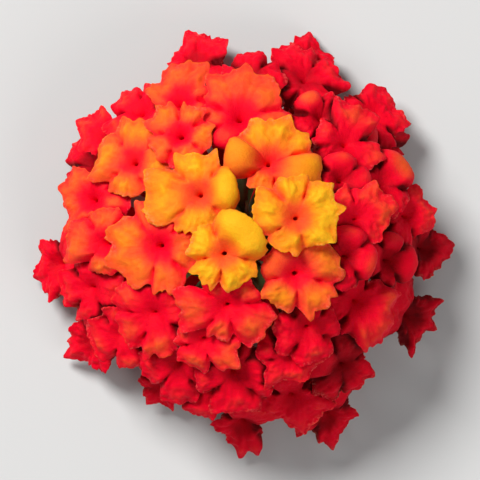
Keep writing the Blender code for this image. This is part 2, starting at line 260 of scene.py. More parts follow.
# Each floret's age from 0, just opened, to about 1, and its lobes: way in degrees, reach as seen from above,
# kind unless it is a dome, and how much riper or fresher than the rest the lobe is
FLORETS = (
    (0.13, (48, 3.7, "pillow", -0.14), (162, 3.0), (226, 2.9, "ruff"), (298, 3.1)),
    (0.20, (15, 3.3, "pillow", -0.14), (98, 3.6, "fan", -0.04), (186, 4.8, "dome", 0.05),
        (256, 3.5, "ruff")),
    (0.17, (44, 4.0, "sail", -0.05), (12, 4.1, "sail", -0.07), (326, 3.8, "sail", -0.05), (91, 3.5),
        (165, 3.7), (250, 3.1, "dome", 0.03)),
    (0.43, (20, 3.8), (150, 2.9, "pillow", 0.12), (240, 3.2, "dome", -0.08), (310, 3.7, "fan")),
    (0.62, (35, 2.9), (125, 2.6), (185, 4.2), (255, 2.8), (322, 4.0)),
    (0.47, (105, 3.9), (163, 4.7, "sail", -0.06), (202, 5.0, "sail", -0.02), (240, 4.2, "sail"),
        (275, 4.0, "fan"), (345, 3.4)),
    (0.30, (36, 4.6, "sail", -0.04), (68, 4.4, "sail", -0.06), (113, 4.1, "sail", -0.04),
        (160, 3.8, "pillow"), (250, 2.5, "wing", 0.06), (355, 4.4, "pillow", -0.05)),
    (0.38, (82, 3.9, "ruff"), (165, 3.3), (250, 3.0), (355, 3.5)),
    (0.46, (0, 2.7, "dome", -0.05), (68, 2.7, "fan"), (130, 3.1, "ruff"), (205, 2.7), (285, 2.5)),
    (0.57, (39, 4.7, "sail", -0.04), (80, 4.9, "sail"), (128, 4.6, "sail"), (172, 3.2),
        (240, 3.0, "pillow", 0.12), (355, 4.2)),
    (0.66, (60, 2.8), (160, 2.3), (250, 2.6), (330, 3.5, "horn")),
    (0.70, (20, 3.4), (140, 3.8), (215, 3.2), (280, 3.8, "ruff")),
    (0.53, (100, 3.0), (175, 3.3), (250, 2.6), (350, 3.0)),
    (0.86, (10, 2.6), (80, 2.6), (200, 3.0), (285, 3.0)),
    (0.92, (340, 2.6, "pillow", -0.12), (80, 2.6, "pillow", -0.08), (180, 2.5), (265, 2.8)),
    (0.72, (17, 4.1, "sail"), (65, 3.5, "sail"), (319, 2.8, "sail"), (125, 2.8), (190, 3.2), (265, 2.8)),
    (0.90, (350, 2.5, "pillow", -0.22), (90, 2.4, "pillow", -0.1), (200, 2.4), (280, 2.4)),
    (0.88, (30, 2.6), (130, 2.6, "pillow", -0.18), (210, 2.6), (300, 3.0)),
    (0.78, (70, 3.5, "fan"), (150, 2.8), (240, 3.2), (340, 3.2, "horn")),
    (0.55, (56, 4.3, "sail"), (103, 3.4, "sail"), (162, 3.3, "sail"), (250, 2.8), (330, 2.8)),
    (0.90, (20, 3.2, "ruff", -0.08), (100, 3.0, "fan", -0.04), (200, 3.2), (290, 3.3)),
    (0.84, (94, 3.2, "sail"), (65, 3.0, "sail"), (349, 3.3, "sail"), (144, 2.7), (235, 3.6, "pillow"),
        (300, 3.0)),
    (0.88, (40, 2.8, "pillow", -0.2), (140, 2.8), (230, 2.8), (320, 2.8)),
    (0.80, (72, 2.9, "sail"), (11, 2.7, "sail"), (336, 2.7, "sail"), (165, 3.0), (250, 3.3)),
    (0.98, (345, 2.4, "pillow", -0.1), (80, 2.4, "pillow", -0.16), (180, 2.5, "pillow", -0.08), (265, 2.4)),
    (0.82, (9, 4.0, "drape"), (321, 4.2, "drape"), (280, 4.5, "drape"), (100, 3.2), (200, 3.2)),
    (0.82, (233, 3.7, "sail"), (295, 2.7, "sail"), (359, 3.4, "sail"), (100, 3.0), (165, 2.8)),
    (1.04, (343, 2.9, "sail"), (301, 2.8, "sail"), (78, 3.6), (160, 3.0, "pillow"), (245, 3.0)),
    (0.88, (203, 3.0, "sail"), (289, 3.5, "sail"), (353, 3.9, "sail"), (100, 3.0)),
    (0.86, (350, 3.7), (95, 2.8), (190, 3.2), (275, 3.6, "fan")),
    (0.84, (90, 2.8), (200, 3.0), (265, 3.3), (340, 3.4, "ruff")),
    (0.76, (20, 3.0, "ruff"), (100, 2.6), (200, 2.8), (280, 2.8)),
    (0.80, (105, 2.7), (190, 2.6, "ruff"), (260, 2.9), (350, 3.0)),
    (0.58, (121, 3.4, "sail"), (160, 3.1, "sail"), (232, 3.7, "sail"), (355, 3.4), (60, 2.9)),
    (0.80, (93, 2.8, "sail"), (147, 3.3, "sail"), (206, 2.5, "sail"), (330, 3.0)),
    (0.72, (60, 2.6), (135, 2.3), (220, 3.5), (310, 2.6)),
    (0.96, (20, 2.8), (95, 2.4), (170, 2.8), (270, 3.0)),
    (0.88, (80, 2.6), (170, 2.8), (250, 2.4), (330, 2.8)),
    (0.90, (35, 3.8, "sail"), (106, 3.8, "sail"), (174, 2.7, "sail"), (250, 3.0), (320, 3.0)),
    (1.00, (10, 2.8, "sail"), (79, 3.3, "sail"), (156, 2.9, "sail"), (337, 3.6, "sail"), (240, 3.0)),
    (1.07, (7, 3.2, "sail"), (315, 2.6, "sail"), (270, 3.0, "sail"), (90, 2.8), (180, 3.0)),
    (1.08, (30, 3.5, "sail"), (333, 2.7, "sail"), (268, 3.8, "sail"), (150, 3.0)),
    (0.98, (6, 3.0, "sail"), (278, 3.3, "sail"), (100, 3.0), (200, 3.0)),
    (0.92, (178, 2.8, "sail"), (267, 3.5, "sail"), (299, 3.3, "sail"), (60, 3.0)),
    (0.92, (167, 2.3, "sail"), (225, 2.3, "sail"), (296, 2.3, "sail"), (20, 3.0), (95, 3.0)),
    (0.94, (150, 2.8, "sail"), (208, 3.8, "sail"), (290, 3.0, "sail"), (20, 3.0), (95, 3.0)),
    (0.84, (125, 3.0, "sail"), (206, 2.9, "sail"), (260, 3.6, "sail"), (20, 3.0)),
    (0.95, (0, 3.0), (80, 2.8), (150, 2.6), (210, 2.8), (335, 4.8)),
    (1.00, (40, 2.8), (120, 2.8), (220, 3.0), (330, 2.8)),
)


class Value:
    """A number that a node gives. Sums on it add their own Math nodes."""

    def __init__(self, look, socket):
        self.look = look
        self.socket = socket

    def __add__(self, other):
        return self.look.maths("ADD", self, other)

    def __radd__(self, other):
        return self.look.maths("ADD", other, self)

    def __sub__(self, other):
        return self.look.maths("SUBTRACT", self, other)

    def __mul__(self, other):
        return self.look.maths("MULTIPLY", self, other)


class Look:
    """One material, built node by node."""

    def __init__(self, name):
        self.material = bpy.data.materials.new(name)
        self.material.use_nodes = True
        self.tree = self.material.node_tree
        self.tree.nodes.clear()
        self.place = self.node("ShaderNodeTexCoord", output="Object")

    def node(self, kind, settings=None, inputs=None, output=0):
        """Add a node, first its settings, then its sockets' values or links, and give one of its outputs."""
        made = self.tree.nodes.new(kind)
        for name, value in (settings or {}).items():
            setattr(made, name, value)
        for name, value in (inputs or {}).items():
            self.feed(self.socket(made.inputs, name), value)
        return Value(self, self.socket(made.outputs, output))

    def socket(self, sockets, name):
        """A socket by its number, or the first usable one of its name."""
        if isinstance(name, int):
            return sockets[name]
        return next(one for one in sockets if one.name == name and one.enabled)

    def feed(self, socket, value):
        if isinstance(value, Value):
            self.tree.links.new(value.socket, socket)
        else:
            socket.default_value = value

    def maths(self, operation, first, second):
        return self.node("ShaderNodeMath", {"operation": operation}, {0: first, 1: second})

    def attribute(self, name):
        """A number that is stored on each of the mesh's points."""
        return self.node("ShaderNodeAttribute", {"attribute_name": name}, output="Fac")

    def clouds(self, scale, detail):
        inputs = {"Vector": self.place, "Scale": scale, "Detail": detail}
        return self.node("ShaderNodeTexNoise", inputs=inputs)

    def colours(self, stops, share):
        """A colour ramp with these stops, read at this share."""
        colour = self.node("ShaderNodeValToRGB", inputs={"Fac": share}, output="Color")
        ramp = colour.socket.node.color_ramp
        while len(ramp.elements) < len(stops):
            ramp.elements.new(0.5)
        for element, (position, shade) in zip(ramp.elements, stops):
            element.position = position
            element.color = (*shade, 1)
        return colour

    def mix(self, blend, factor, first, second):
        """Two colours together, by one of the Mix node's ways."""
        return self.node(
            "ShaderNodeMix",
            {"data_type": "RGBA", "blend_type": blend},
            {"Factor": factor, "A": first, "B": second},
            output="Result",
        )

    def bump(self, distance, height):
        inputs = {"Strength": 0.5, "Distance": distance, "Height": height}
        return self.node("ShaderNodeBump", inputs=inputs, output="Normal")

    def finish(self, inputs):
        """Make the surface with these inputs, and give the material."""
        shader = self.node("ShaderNodeBsdfPrincipled", inputs=inputs)
        ending = self.tree.nodes.new("ShaderNodeOutputMaterial")
        self.tree.links.new(shader.socket, ending.inputs["Surface"])
        return self.material


def unit(vector):
    return vector / np.linalg.norm(vector)


def smooth_step(value):
    value = np.clip(value, 0.0, 1.0)
    return value * value * (3 - 2 * value)


def node_triangles(node):
    """A CAD node's triangles in millimetres, as an array of (triangle, corner, axis)."""
    mesh = frame["nodes"][node].data
    corners = np.array([corner.co for corner in mesh.vertices]) / METRES
    return np.array([[corners[i] for i in face.vertices] for face in mesh.polygons])


def cone_tips(node):
    """The middle and axis of each end of a CAD floret, where as many triangles meet as the end has sides."""
    fans = {}
    for triangle in node_triangles(node):
        for corner in triangle:
            fans.setdefault(tuple(np.round(corner, 3)), []).append(triangle)
    tips = []
    for middle, fan in fans.items():
        if len(fan) == CAD_SIDES:
            around = sum(np.cross(t[1] - t[0], t[2] - t[0]) for t in fan)
            tips.append((np.array(middle), unit(around)))
    return tips


class Floret:
    """One floret: where its throat and foot are, the way it faces, and its lobes."""

    def __init__(self, number, age, lobes, axis):
        self.number = number
        self.node = f"floret_{number:02d}"
        self.age = age
        self.random = random.Random(number)
        self.spread = SKIRT_SPREAD if number in SKIRT else 0
        tips = sorted(cone_tips(self.node), key=lambda tip: np.linalg.norm(tip[0] - axis))
        (foot, foot_way), (pit, self.face) = tips
        self.foot = foot
        self.foot_way = -foot_way
        self.throat = pit + (CAD_THROAT_DEPTH - CAD_END_POINT) * self.face
        self.right = unit(np.cross([0.0, 1.0, 0.0], self.face))
        self.up = np.cross(self.face, self.right)
        self.lobes = [self.lay_back(*lobe[:3]) for lobe in lobes]
        self.lobe_tones = [lobe[3] if len(lobe) > 3 else 0.0 for lobe in lobes]
        self.limits = []

    def lay_back(self, way, reach, kind="dome"):
        """A lobe's way and reach in the limb's own plane, from those that are seen from above."""
        across = reach * math.cos(math.radians(way))
        upward = reach * math.sin(math.radians(way))
        drop = -(self.face[0] * across + self.face[1] * upward) / self.face[2]
        tip = np.array([across, upward, drop])
        length = min(float(np.linalg.norm(tip)), LONGEST_REACH)
        return math.atan2(tip.dot(self.up), tip.dot(self.right)), length, kind

    def world(self, along, across, height):
        """Points in space from distances along the limb's two axes and its height, each an array."""
        return (
            self.throat
            + np.multiply.outer(along, self.right)
            + np.multiply.outer(across, self.up)
            + np.multiply.outer(height, self.face)
        )

    def tube_line(self, steps):
        """The tube's middle from under the throat to the foot, one smooth curve."""
        length = np.linalg.norm(self.throat - self.foot)
        pull = self.throat - 0.3 * length * self.face
        lift = self.foot + 0.3 * length * self.foot_way
        t = np.linspace(0, 1, steps)[:, None]
        upper = self.throat * (1 - t) ** 3 + 3 * pull * t * (1 - t) ** 2
        return upper + 3 * lift * t**2 * (1 - t) + self.foot * t**3

    def hold_back(self, others):
        """Note where tubes of higher florets come through this limb's plane, as (way, distance)."""
        for other in others:
            line = other.tube_line(24) - self.throat
            along, across, height = line @ self.right, line @ self.up, line @ self.face
            distance = np.hypot(along, across)
            if height[0] < -0.15 or distance[0] > TUBE_NEAR:
                continue
            for k in np.flatnonzero((np.abs(height) < PLANE_NEAR) & (distance < THROAT_NEAR)):
                self.limits.append((math.atan2(across[k], along[k]), float(distance[k])))


def lobe_sectors(lobes):
    """For each spoke: the lobe that it is in, the nearest other lobe, the turn from its lobe's tip, how far
    from there the sinus and the other lobe's tip are, and its place from -1 to 1 between two sinuses."""
    order = sorted(range(len(lobes)), key=lambda i: lobes[i][0] % math.tau)
    owner, beside = np.zeros(SPOKES, int), np.zeros(SPOKES, int)
    turned, span, gap, aside = (np.zeros(SPOKES) for _ in range(4))
    for place, own in enumerate(order):
        way, reach, _ = lobes[own]
        turn = (SPOKE_WAYS - way + math.pi) % math.tau - math.pi
        for side, other in ((1, order[(place + 1) % len(order)]), (-1, order[place - 1])):
            apart = (side * (lobes[other][0] - way)) % math.tau
            edge = apart * reach / (reach + lobes[other][1])
            spokes = (side * turn >= 0) & (side * turn <= edge)
            owner[spokes] = own
            beside[spokes] = other
            turned[spokes] = np.abs(turn[spokes])
            span[spokes] = edge
            gap[spokes] = apart
            aside[spokes] = turn[spokes] / edge
    return owner, beside, turned, span, gap, aside


def web_reach(own, other, gap, turned):
    """How far a limb reaches between two corners: straight from one to the other, but a little pulled in."""
    narrow = np.minimum(gap, WIDEST_WEB)
    across = turned * narrow / gap
    straight = own * other * np.sin(narrow) / (own * np.sin(across) + other * np.sin(narrow - across))
    return straight * (1 - WEB_SAG * np.sin(math.pi * turned / gap))


def spike(value, width):
    """A sharp peak at zero."""
    return np.exp(-((np.abs(value) / width) ** 1.3))


def bell(value, width):
    """A round peak at zero."""
    return np.exp(-((value / width) ** 2))


def ripple(source, waves):
    """A smooth wavy line round the limb, about -1 to 1."""
    line = np.zeros(SPOKES)
    for wave in waves:
        high = source.uniform(0.5, 1.0)
        line += high * np.sin(wave * SPOKE_WAYS + source.uniform(0, math.tau)) / len(waves)
    return line


def fine_noise(spot, seed):
    """Small soft lumps over a limb, two sizes together."""
    wide = noise.noise(Vector((spot[0] * 0.9, spot[1] * 0.9, seed * 7.0)))
    fine = noise.noise(Vector((spot[0] * 2.6, spot[1] * 2.6, seed * 7.0 + 3)))
    return wide + 0.6 * fine


class Limb:
    """A floret's limb, spoke by spoke. Its methods draw random numbers, so they keep to one order."""

    def __init__(self, floret):
        self.floret = floret
        self.owner, self.beside, self.turned, self.span, self.gap, self.aside = lobe_sectors(floret.lobes)
        webbed = np.array([kind in WEBBED for _, _, kind in floret.lobes])
        self.webbed = webbed[self.owner]
        self.near_web = webbed[self.owner] | webbed[self.beside]
        inside_web = webbed[self.owner] & webbed[self.beside]
        self.folded = np.where(inside_web, 0.0, 1.0)
        self.side = np.abs(self.aside) * np.where(inside_web, 0.3, 1)
        reaches = np.array([reach for _, reach, _ in floret.lobes])
        self.tip, self.other_tip = reaches[self.owner], reaches[self.beside]

    def value(self, name, lobes=None):
        """Each spoke's number for one trait, from its own lobe or from another."""
        trait = LOBE_TRAITS.index(name)
        numbers = np.array([LOBE_KINDS[kind][trait] for _, _, kind in self.floret.lobes])
        return numbers[self.owner if lobes is None else lobes]

    def draw(self, low, high):
        """A random number for each lobe, given to every spoke in it."""
        return np.array([self.floret.random.uniform(low, high) for _ in self.floret.lobes])[self.owner]

    def rim_noise(self, scale, seed):
        """Soft lumps round the rim."""
        spots = zip(scale * np.cos(SPOKE_WAYS), scale * np.sin(SPOKE_WAYS))
        return np.array([fine_noise(spot, seed) for spot in spots])

    def outline(self):
        """How far the limb reaches if nothing holds it back."""
        left, right = self.draw(*CORNER_SIZES), self.draw(*CORNER_SIZES)
        corner_at = self.draw(*CORNER_PLACES)
        shift = self.draw(*POINT_PLACES)
        share = np.minimum(self.value("sinus"), self.value("sinus", self.beside))
        notch = share * np.minimum(self.tip, self.other_tip)
        web = web_reach(self.tip, self.other_tip, self.gap, self.span)
        sinus = np.where(self.near_web, web, notch) / self.tip
        outline = 1 - (1 - sinus) * np.abs(self.aside) ** 5
        web = web_reach(self.tip, self.other_tip, self.gap, self.turned)
        outline = np.where(self.webbed, web / self.tip, outline)
        corner = self.value("corner")
        outline += corner * left * spike(self.aside - corner_at, CORNER_WIDTH)
        outline += corner * right * spike(self.aside + corner_at, CORNER_WIDTH)
        outline += self.value("point") * (spike(self.aside - shift, POINT_WIDTH) - 0.45)
        outline -= 0.35 * corner * np.clip(1 - (self.aside / 0.5) ** 2, 0, 1)
        outline += self.value("wave") * self.rim_noise(4.2, self.floret.number + 0.5)
        return np.maximum(outline * self.tip, SHORTEST_REACH)

    def teeth(self):
        """How far the rim's small teeth stand out."""
        teeth = np.array([self.floret.random.uniform(-1, 1) for _ in range(SPOKES)])
        return TEETH * (0.6 * teeth + 0.4 * np.roll(teeth, 1)) * self.tip

    def clear_of_tubes(self, reach):
        """The reach with room for the tubes that pass the limb, a little smoothed."""
        for way, distance in self.floret.limits:
            along = distance * np.cos(SPOKE_WAYS - way)
            aside = distance * np.sin(SPOKE_WAYS - way)
            near = (np.abs(aside) < TUBE_CLEAR) & (along > 0)
            room = along - np.sqrt(np.maximum(TUBE_CLEAR**2 - aside**2, 0))
            reach = np.where(near, np.minimum(reach, np.maximum(room, SHORTEST_REACH)), reach)
        return 0.5 * reach + 0.25 * np.roll(reach, 1) + 0.25 * np.roll(reach, -1)

    def profile(self, reach):
        """Every limb point's distance out and height, as the line of each spoke rises and turns down."""
        floret = self.floret
        s = np.linspace(0, 1, PROFILE_STEPS + 1)[:, None]
        uneven = np.where(self.webbed, 0.0, 1.0)
        fresh = 1 + 0.35 * uneven * self.draw(-1, 1)
        rise = (self.value("rise") + floret.spread) * (1 - 0.25 * self.side**3) * fresh
        turn = (self.value("turn") - floret.spread) * (1 - 0.3 * self.side**2)
        turn *= 1 + 0.2 * uneven * self.draw(-1, 1)
        start = self.value("start")
        slope = rise * (1 - smooth_step(s / (1.5 * start)))
        slope -= turn * np.clip((s - start) / (1 - start), 0, 1) ** 1.5
        slope *= 1 - self.value("flare") * smooth_step((s - 0.72) / 0.28)
        slope = np.radians(slope)
        out = np.cumsum(np.cos(slope), axis=0) / PROFILE_STEPS
        height = np.cumsum(np.sin(slope), axis=0) / PROFILE_STEPS
        out -= out[0]
        height -= height[0]
        furthest = out.argmax(axis=0)
        along, up = (line[furthest, np.arange(SPOKES)] for line in (out, height))
        flat = np.outer(np.cos(SPOKE_WAYS), floret.right[:2]) + np.outer(np.sin(SPOKE_WAYS), floret.up[:2])
        seen = np.linalg.norm(along[:, None] * flat + up[:, None] * floret.face[:2], axis=1)
        foreshortened = np.clip(along * np.linalg.norm(flat, axis=1) / seen, 0.6, 1.25)
        scale = (reach * foreshortened - LIMB_START) / along
        pick = np.clip((RING_PLACES * PROFILE_STEPS).round().astype(int), 0, PROFILE_STEPS)
        return LIMB_START + out[pick] * scale, height[pick] * scale


def limb_shape(floret):
    """Every limb point's distance out, height and extra ripeness with painted highlight and shade, and how
    near each spoke is to a sinus.
    """
    limb = Limb(floret)
    source = floret.random
    reach = limb.outline()
    teeth = limb.teeth()
    reach = limb.clear_of_tubes(reach)
    out, height = limb.profile(reach)
    at = RING_PLACES[:, None]
    wave = limb.value("wave")
    waves = ripple(source, (4, 7, 11))
    frill = limb.rim_noise(2.2, floret.number + 0.25)
    height += wave * reach * waves * at**3 * 0.9
    out += wave * reach * frill * at**3 * 0.5
    out += teeth * np.clip(0.45 + 1.2 * frill, 0.1, 1) * at**8
    valley = np.clip(1 - np.abs(limb.aside), 0, 1)
    pit = PIT * (1 - 0.7 * floret.age) * limb.folded
    height -= CREASE * limb.folded * spike(valley, CREASE_WIDTH) * smooth_step((at - 0.3) * 2.2)
    height -= pit * bell(valley, PIT_WIDTH) * bell(at - PIT_PLACE, PIT_LENGTH)
    height += 0.12 * ripple(source, (3, 4, 7)) * smooth_step(at * 2) * reach / 3
    spots = np.stack([out * np.cos(SPOKE_WAYS), out * np.sin(SPOKE_WAYS)], axis=-1)
    rough = np.array([[fine_noise(spot, floret.number) for spot in row] for row in spots])
    rough *= smooth_step(at * 2) * np.minimum(wave * 12, 1)
    height += RIPPLE * rough
    ripe_and_painted_light = np.array(floret.lobe_tones)[limb.owner] * (1 - limb.side**2)
    # Painted highlight on the crests of the lumps, and painted shade in the pits and creases, join the
    # lobes' own tones
    ripe_and_painted_light = ripe_and_painted_light - CREST_HIGHLIGHT_TONE * (1 - 0.7 * floret.age) * rough
    ripe_and_painted_light += PIT_SHADE_TONE * limb.folded * bell(valley, 0.2) * bell(at - PIT_PLACE, 0.14)
    ripe_and_painted_light += 0.5 * PIT_SHADE_TONE * limb.folded * spike(valley, 0.2) * smooth_step((at - 0.4) * 2)
    return out, height, ripe_and_painted_light, limb.side


def blend_spokes(values, furthest):
    """Each spoke's numbers averaged with those of its neighbours, up to so many spokes away."""
    total = values.copy()
    for k in range(1, furthest + 1):
        total += np.roll(values, k, 1) + np.roll(values, -k, 1)
    return total / (2 * furthest + 1)


def blend_rings(values, inner):
    """Each ring's numbers averaged with those of the rings beside it, the innermost with the one given."""
    padded = np.vstack([inner, values, values[-1:]])
    return (padded[:-2] + 2 * padded[1:-1] + padded[2:]) / 4


def over_others(floret, out, height, laid):
    """Place the limb's points, lifted smoothly where it would run into the limbs that are already laid."""
    points = floret.world(out * np.cos(SPOKE_WAYS), out * np.sin(SPOKE_WAYS), height)
    down = Vector(-floret.face)
    trees = [other.tree for other in laid if np.linalg.norm(other.throat - floret.throat) < LIMBS_MEET]
    need = np.zeros(out.shape)
    for place in np.ndindex(out.shape):
        start = Vector(points[place] + FAR * floret.face)
        for tree in trees:
            hit, _, _, distance = tree.ray_cast(start, down, FAR + GAP)
            if hit is not None:
                need[place] = max(need[place], FAR + GAP - distance)
    need = np.minimum(need, LIFT_MOST)
    need *= smooth_step(np.arange(1, LIMB_RINGS + 1) / 5)[:, None]
    lift = need
    for _ in range(6):
        lift = np.maximum(need, blend_rings(blend_spokes(lift, 3), np.zeros((1, SPOKES))))
    for _ in range(2):
        lift = (lift + np.roll(lift, 1, 1) + np.roll(lift, -1, 1)) / 3
    return points + np.multiply.outer(lift, floret.face)


def tube_shape(floret):
    """The tube's rings from the foot up, each square to the tube's middle line."""
    line = floret.tube_line(TUBE_RINGS + 2)
    rings = []
    for k in range(TUBE_RINGS + 1, 1, -1):
        up = unit(line[k - 1] - line[min(k + 1, TUBE_RINGS + 1)])
        right = unit(floret.right - floret.right.dot(up) * up)
        forward = np.cross(up, right)
        radius = TUBE_RADIUS + (FOOT_RADIUS - TUBE_RADIUS) * (k / (TUBE_RINGS + 1))
        round_line = np.outer(np.cos(SPOKE_WAYS), right) + np.outer(np.sin(SPOKE_WAYS), forward)
        rings.append(line[k] + radius * round_line)
    return rings


def funnel_shape(floret):
    """The throat's rings from the tube out, oval where the throat is narrow."""
    closing = OPEN_THROAT - THROAT_CLOSES * smooth_step((floret.age - 0.5) / 0.25)
    shares = np.interp(np.arange(len(FUNNEL)), (0, 1, len(FUNNEL)), (closing, closing, 1.0))
    rings = []
    for (radius, level), share in zip(FUNNEL, shares):
        along = radius * share * np.cos(SPOKE_WAYS)
        across = radius * share**2 * np.sin(SPOKE_WAYS)
        rings.append(floret.world(along, across, np.full(SPOKES, level)))
    return rings


def limb_tone(floret, height, ripe_and_painted_light, side):
    """How ripe each limb point looks, with painted shade and highlight: its colour, from its floret's age
    and where it is.
    """
    at = RING_PLACES[:, None]
    old = smooth_step((floret.age - 0.5) / 0.3)
    relief = height - height.mean(axis=1)[:, None]
    # Painted shade reddens an old limb's hollows, the sides beside a sinus and the part near the rim, and
    # painted highlight lightens the middle of each lobe
    return (
        floret.age
        + ripe_and_painted_light * smooth_step(at * 2.5)
        + THROAT_TONE * (1 - 0.8 * old) * bell(at, 0.25)
        - OUTER_TONE * old * smooth_step((at - 0.45) * 3)
        + HOLLOW_SHADE_TONE * old * np.clip(-relief, -0.5, 0.5) * smooth_step(at * 2)
        + SINUS_SHADE_TONE * side**2
        + RIM_SHADE_TONE * smooth_step((at - 0.75) * 4)
        - EDGE_TONE * (at > 0.97)
        - LOBE_HIGHLIGHT_TONE * bell(at - 0.6, 0.3) * (1 - side**2)
    )


def shape_floret(floret, laid):
    """Every point of the corolla as (ring, spoke, axis), how ripe it looks with painted shade and highlight,
    and how near the rim it is.
    """
    out, height, ripe_and_painted_light, side = limb_shape(floret)
    limb = over_others(floret, out, height, laid)
    points = np.array(tube_shape(floret) + funnel_shape(floret) + list(limb))
    points[..., 2] = np.maximum(points[..., 2], FLOOR_GAP)
    old = smooth_step((floret.age - 0.5) / 0.3)
    tone = np.full(points.shape[:2], floret.age + 0.3 - 0.2 * old)
    tone[-LIMB_RINGS:] = limb_tone(floret, height, ripe_and_painted_light, side)
    rim = np.zeros(points.shape[:2])
    rim[-LIMB_RINGS:] = smooth_step((RING_PLACES[:, None] - 0.8) / 0.2)
    return points, tone, rim


def nothing_selected():
    """Drop the selection, so that an operator acts on the new piece alone."""
    for piece in bpy.context.view_layer.objects:
        piece.select_set(False)


def apply_modifiers(piece):
    nothing_selected()
    piece.select_set(True)
    bpy.context.view_layer.objects.active = piece
    for modifier in list(piece.modifiers):
        bpy.ops.object.modifier_apply(modifier=modifier.name)


def corolla_blank():
    """A flat sheet with a hole, drawn as rings, that every corolla is shaped from."""
    nothing_selected()
    bpy.ops.mesh.primitive_circle_add(vertices=SPOKES, radius=METRES, fill_type="NOTHING")
    blank = bpy.context.active_object
    bpy.ops.object.mode_set(mode="EDIT")
    bpy.ops.mesh.select_all(action="SELECT")
    for ring in range(1, RINGS):
        bpy.ops.mesh.extrude_region_move()
        bpy.ops.transform.resize(value=((ring + 1) / ring, (ring + 1) / ring, 1))
    bpy.ops.object.mode_set(mode="OBJECT")
    bpy.ops.object.shade_smooth()
    return blank


def ring_and_spoke(mesh):
    """Which ring and spoke of the blank each of its points is on."""
    flat = np.zeros(len(mesh.vertices) * 3)
    mesh.vertices.foreach_get("co", flat)
    flat = flat.reshape(-1, 3)
    ring = (np.hypot(flat[:, 0], flat[:, 1]) / METRES).round().astype(int) - 1
    spoke = (np.arctan2(flat[:, 1], flat[:, 0]) / math.tau * SPOKES).round().astype(int) % SPOKES
    return ring, spoke


def copy_of(pattern, name):
    """A copy of a pattern piece, with its own mesh."""
    piece = pattern.copy()
    piece.data = pattern.data.copy()
    piece.name = name
    piece.data.name = name
    bpy.context.collection.objects.link(piece)
    return piece


def petal_look(name):
    """Velvety petal: yellow when young, through orange, to deep red, with a fine grain and painted highlight
    glints along the rim.
    """
    look = Look(name)
    blotch = look.clouds(620.0, 3.0)
    streak = look.clouds(2600.0, 4.0)
    glint_specks = look.clouds(5200.0, 3.0)
    grain = look.node("ShaderNodeTexVoronoi", inputs={"Vector": look.place, "Scale": 9000.0})
    ripe_and_painted_light = look.attribute("tone") + (blotch - 0.5) * 0.16 + (streak - 0.5) * 0.08
    colour = look.colours(PETAL_STOPS, ripe_and_painted_light * 0.8)
    grained = look.mix("MULTIPLY", 0.35, colour, look.colours(GRAIN_STOPS, grain))
    # Painted highlight: pale glinting specks, in clumps, added to the colour along the rim
    rim_glints = look.node(
        "ShaderNodeMath",
        {"operation": "MULTIPLY", "use_clamp": True},
        {0: look.attribute("rim"), 1: glint_specks * 6.0 + blotch * 5.0 - 5.7},
    )
    return look.finish({
        "Base Color": look.mix("ADD", rim_glints * 0.55, grained, RIM_GLINTS_COLOUR),
        "Roughness": 0.5 + blotch * 0.16,
        "Normal": look.bump(0.00012, streak * 1.2 + grain * 0.5 + rim_glints * 0.4),
        "Subsurface Weight": 0.3,
        "Subsurface Radius": (1.0, 0.25, 0.12),
        "Subsurface Scale": 0.0006,
        "Specular IOR Level": 0.06,
    })


def green_look(name, light, dark, roughness):
    """Leaf green with a fine hairy grain."""
    look = Look(name)
    mottle = look.clouds(1100.0, 4.0)
    hair = look.clouds(7000.0, 3.0)
    return look.finish({
        "Base Color": look.mix("MIX", mottle * 1.6 - 0.3, light, dark),
        "Roughness": roughness + mottle * 0.15,
        "Normal": look.bump(0.0001, hair + mottle * 0.6),
        "Sheen Weight": 0.2,
        "Subsurface Weight": 0.1,
        "Subsurface Scale": 0.0005,
    })


def floor_look():
    look = Look("floor")
    cloud = look.clouds(8.0, 3.0)
    pale = look.mix("MIX", cloud, (0.60, 0.60, 0.59, 1), (0.66, 0.66, 0.65, 1))
    return look.finish({"Base Color": pale, "Roughness": 0.8 + cloud * 0.1})


def calyx_blank():
    """A small cup with a toothed rim that holds the foot of a tube, standing at the origin."""
    nothing_selected()
    bpy.ops.mesh.primitive_circle_add(vertices=20, radius=0.3 * METRES, fill_type="NGON")
    blank = bpy.context.active_object
    bpy.ops.object.mode_set(mode="EDIT")
    bpy.ops.mesh.select_all(action="SELECT")
    for rise, wider in ((0.25, 1.45), (0.5, 1.12), (0.55, 1.05), (0.4, 1.08)):
        bpy.ops.mesh.extrude_region_move(TRANSFORM_OT_translate={"value": (0, 0, rise * METRES)})
        bpy.ops.transform.resize(value=(wider, wider, 1))
    bpy.ops.mesh.delete(type="ONLY_FACE")
    bpy.ops.object.mode_set(mode="OBJECT")
    mesh = blank.data
    top = max(corner.co.z for corner in mesh.vertices)
    for corner in mesh.vertices:
        if corner.co.z > top - 1e-6:
            corner.co.z += 0.22 * METRES * math.cos(5 * math.atan2(corner.co.y, corner.co.x))
    wall = blank.modifiers.new("wall", "SOLIDIFY")
    wall.thickness = 0.09 * METRES
    wall.offset = -1
    smooth = blank.modifiers.new("smooth", "SUBSURF")
    smooth.levels = 1
    smooth.render_levels = 1
    apply_modifiers(blank)
    bpy.ops.object.shade_smooth()
    return blank


def stand(piece, foot, way):
    """Move a blank that stands at the origin to a foot, turned to point along a way."""
    turn = Vector((0, 0, 1)).rotation_difference(Vector(way)).to_matrix()
    for corner in piece.data.vertices:
        corner.co = turn @ corner.co + Vector(foot) * METRES


def blade_blank():
    """A flat narrow blade, one long and one wide, that bracts are shaped from."""
    nothing_selected()
    bpy.ops.mesh.primitive_grid_add(x_subdivisions=8, y_subdivisions=24, size=METRES)
    blank = bpy.context.active_object
    bpy.ops.object.shade_smooth()
    return blank


